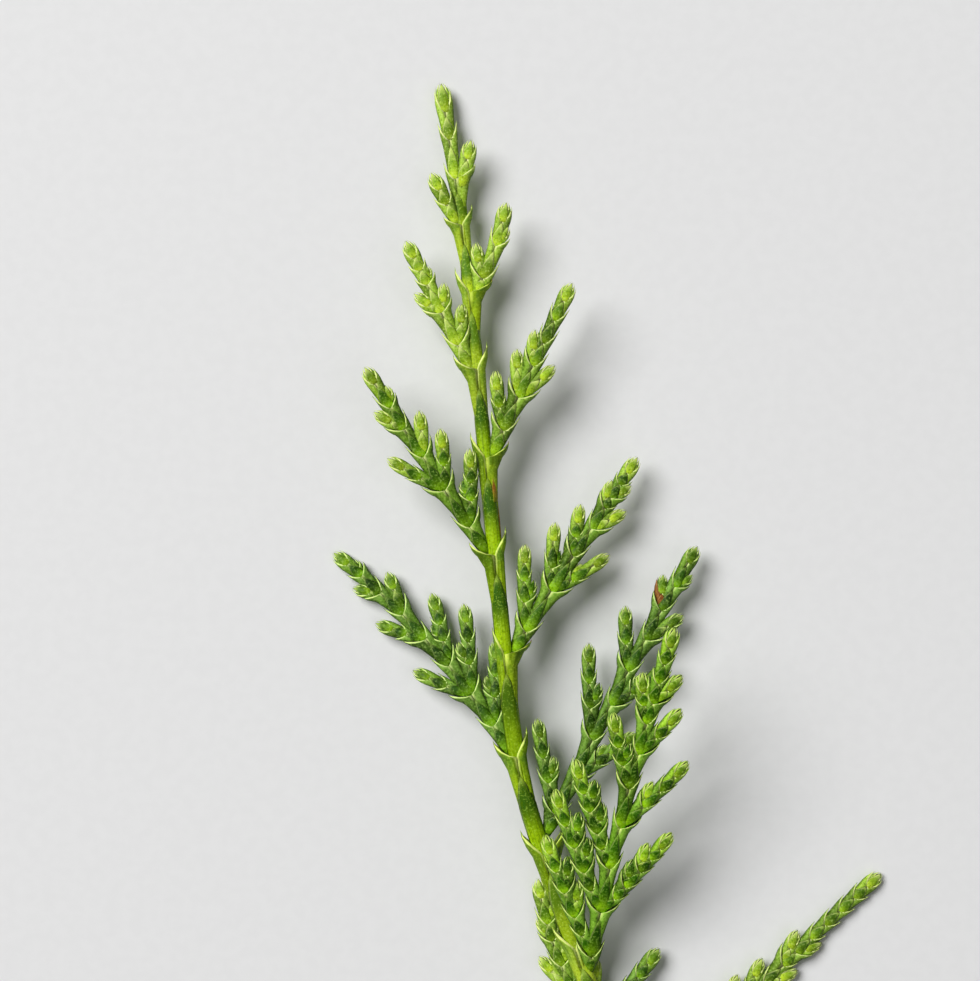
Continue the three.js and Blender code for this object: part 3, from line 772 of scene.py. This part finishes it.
quads, tris = closedSides(len(leafGrid["along"]), len(leafGrid["round"]))
kinds, shells, maps = [], [], []
for axis in [stemAxis] + twigAxes:
    axis["paleTip"] = axis["rank"] != "bud" or dice.random() < tipForm["paleBuds"]
    rows = leafRows(axis)
    shells.append(leafShells(axis, rows))
    maps.append(leafMap(rows))
    kinds += [kindOf(axis, row, shell.mean(0)) for row, shell in zip(rows, shells[-1])]
kinds, shells, maps = np.array(kinds), np.concatenate(shells), np.concatenate(maps)
tones = np.repeat(dice.random(len(kinds))[:, None] ** leafSkin["toneSkew"], shells.shape[1], 1)
for kind, colours in leafColours.items():
    chosen = kinds == kind
    shift = (np.arange(chosen.sum()) * shells.shape[1])[:, None, None]
    slot = "stem" if kind in stemKinds else "foliage"
    replaced = leafGroups.get(kind, ()) if kind != "stem" else ()  # the core stands for the stem
    makePiece("leaves_" + kind, shells[chosen].reshape(-1, 3), (quads + shift).reshape(-1, 4),
              (tris + shift).reshape(-1, 3), maps[chosen].reshape(-1, 2), {"tone": tones[chosen].ravel()},
              leafMaterial(kind + " leaf", {**usualColours, **colours}), slot, replaced)

# The wood inside: a tube under the leaves of every axis, closed at both ends. The colours are its dark and
# pale streaks and the cut wood.
coreForm = {
    "sides": 10, "step": 1.2, "share": 0.72, "stemShare": 0.82, "short": 0.4, "stemShort": 0.6, "ribs": 5,
    "ribDepth": 0.015, "streakStretch": (1, 0.12, 1), "streakScale": 3000.0, "streakDetail": 3.0,
    "streaks": (0.3, 0.7), "roughness": (0.45, 0.65), "cutEdge": (0.0008, 0.0004), "specular": 0.2,
    "bumpStrength": 0.4, "bumpDepth": 0.00005,
    "bark": ((92, 122, 24), (150, 178, 50), (214, 208, 158)),
    "heart": ((34, 60, 8), (68, 102, 20), (68, 102, 20)),
}


def coreTube(axis, end):
    # a section carried along the axis, its radius waved by the ribs, with a flat disc at each end
    form = coreForm
    reach = np.linspace(0, end, max(3, round(end / form["step"])))
    share = np.full(len(reach), form["share"])
    if axis["rank"] == "stem":
        leafy = smooth((reach - stemForm["leafyFrom"]) / stemForm["leafyOver"])
        share = mix(form["stemShare"], form["share"], leafy)
    around = np.arange(form["sides"]) * 2 * np.pi / form["sides"]
    point, side, face, along = pathFrame(axis, reach)
    wide, thick = girth(axis, reach)
    wave = share[:, None] * (1 + form["ribDepth"] * np.cos(form["ribs"] * around))
    across, upward = wide[:, None] * wave * np.cos(around), thick[:, None] * wave * np.sin(around)
    tube = point[:, None] + side[:, None] * across[..., None] + face[:, None] * upward[..., None]
    points = np.concatenate([tube.reshape(-1, 3), point[:1], point[-1:]])
    uv = np.stack([np.tile(around / (2 * np.pi), len(reach)), np.repeat(reach / end, form["sides"])], -1)
    return points, *closedSides(len(reach), form["sides"]), np.concatenate([uv, [[0.5, 0], [0.5, 1]]])


def barkMaterial(name, deep, pale, wood):
    # streaks along the axis, and the wood's own colour on the flat root end, where the map's height is 0
    form = coreForm
    build = Nodes(name)
    stretch = build.add("ShaderNodeMapping")
    build.fill(stretch, {"Vector": build.place(), "Scale": form["streakStretch"]})
    streak = build.noise(stretch.outputs[0], form["streakScale"], form["streakDetail"])
    colour = build.blend(build.ramp(streak, *form["streaks"]), deep, pale)
    colour = build.blend(build.ramp(build.map()[1], *form["cutEdge"]), colour, wood)
    build.fill(build.shader, {
        "Base Color": colour, "Roughness": build.ramp(streak, *form["streaks"], *form["roughness"]),
        "Specular IOR Level": form["specular"],
        "Normal": build.bump(streak, form["bumpStrength"], form["bumpDepth"])})
    return build.material


def joinTubes(tubes):  # many as one, each one's faces counted on from the points before it
    shift = np.cumsum([0] + [len(tube[0]) for tube in tubes])
    moved = [(points, quads + base, tris + base, uv) for (points, quads, tris, uv), base in zip(tubes, shift)]
    return [np.concatenate(parts) for parts in zip(*moved)]


stemTube = coreTube(stemAxis, stemForm["height"] - coreForm["stemShort"])
makePiece("stem_core", *stemTube, {}, barkMaterial("green bark", *coreForm["bark"]), "stem", ("stem",))
twigTubes = joinTubes([coreTube(axis, axis["length"] - coreForm["short"]) for axis in twigAxes])
makePiece("twig_cores", *twigTubes, {}, barkMaterial("twig heart", *coreForm["heart"]), "foliage")

# Table, light and camera. The table's and the lights' places and sizes are in metres. The camera looks
# straight down from a place measured from the cut end, and its scale is right on a plane above the table.
studio = {
    "table": (228, 228, 228), "grain": (226, 226, 226), "grainScale": 900.0, "grains": (0.3, 0.7),
    "tableSize": 4.0, "roughness": 0.8, "specular": 0.1, "world": 0.08,
    "keyPlace": (-0.85, 0.65, 1.25), "keySize": 1.1, "keyPower": 31.5,
    "fillPlace": (0.7, -0.4, 1.5), "fillSize": 1.4, "fillPower": 3.4,
}
cameraForm = {
    "fromCut": (-13.783, 57.914), "plane": 4.0, "distance": 231.0, "mmPerPixel": 0.085, "pixelsWide": 980,
    "sensor": 36.0, "clipStart": 0.01,
}

mesh = bpy.data.meshes.new("table")
half = studio["tableSize"] / 2
mesh.from_pydata([(-half, -half, 0), (half, -half, 0), (half, half, 0), (-half, half, 0)], [], [(0, 1, 2, 3)])
table = bpy.data.objects.new("table", mesh)
bpy.context.scene.collection.objects.link(table)
build = Nodes("pale table")
grain = build.ramp(build.noise(build.place(), studio["grainScale"]), *studio["grains"])
build.fill(build.shader, {
    "Base Color": build.blend(grain, studio["table"], studio["grain"]), "Roughness": studio["roughness"],
    "Specular IOR Level": studio["specular"]})
mesh.materials.append(build.material)

world = bpy.data.worlds.new("studio")
world.use_nodes = True
world.node_tree.nodes["Background"].inputs["Color"].default_value = (1, 1, 1, 1)
world.node_tree.nodes["Background"].inputs["Strength"].default_value = studio["world"]
bpy.context.scene.world = world
bpy.context.scene.view_settings.view_transform = "Standard"


def areaLight(name, place, size, power):  # turned to face the middle of the table
    lamp = bpy.data.lights.new(name, "AREA")
    lamp.shape = "DISK"
    lamp.size = size
    lamp.energy = power
    light = bpy.data.objects.new(name, lamp)
    light.location = place
    towards = -np.array(place) / np.linalg.norm(place)
    light.rotation_euler = (math.acos(-towards[2]), 0, math.atan2(-towards[0], towards[1]))
    bpy.context.scene.collection.objects.link(light)


for name in ("key", "fill"):
    areaLight(name, studio[name + "Place"], studio[name + "Size"], studio[name + "Power"])

lens = bpy.data.cameras.new("camera")
lens.sensor_fit = "HORIZONTAL"
lens.sensor_width = cameraForm["sensor"]
seen = cameraForm["pixelsWide"] * cameraForm["mmPerPixel"]
lens.lens = cameraForm["sensor"] * cameraForm["distance"] / seen
lens.clip_start = cameraForm["clipStart"]
camera = bpy.data.objects.new("camera", lens)
over = cutEnd[:2] + np.array(cameraForm["fromCut"])
camera.location = (over[0] * mm, over[1] * mm, (cameraForm["plane"] + cameraForm["distance"]) * mm)
bpy.context.scene.collection.objects.link(camera)
bpy.context.scene.camera = camera
print("studio set")
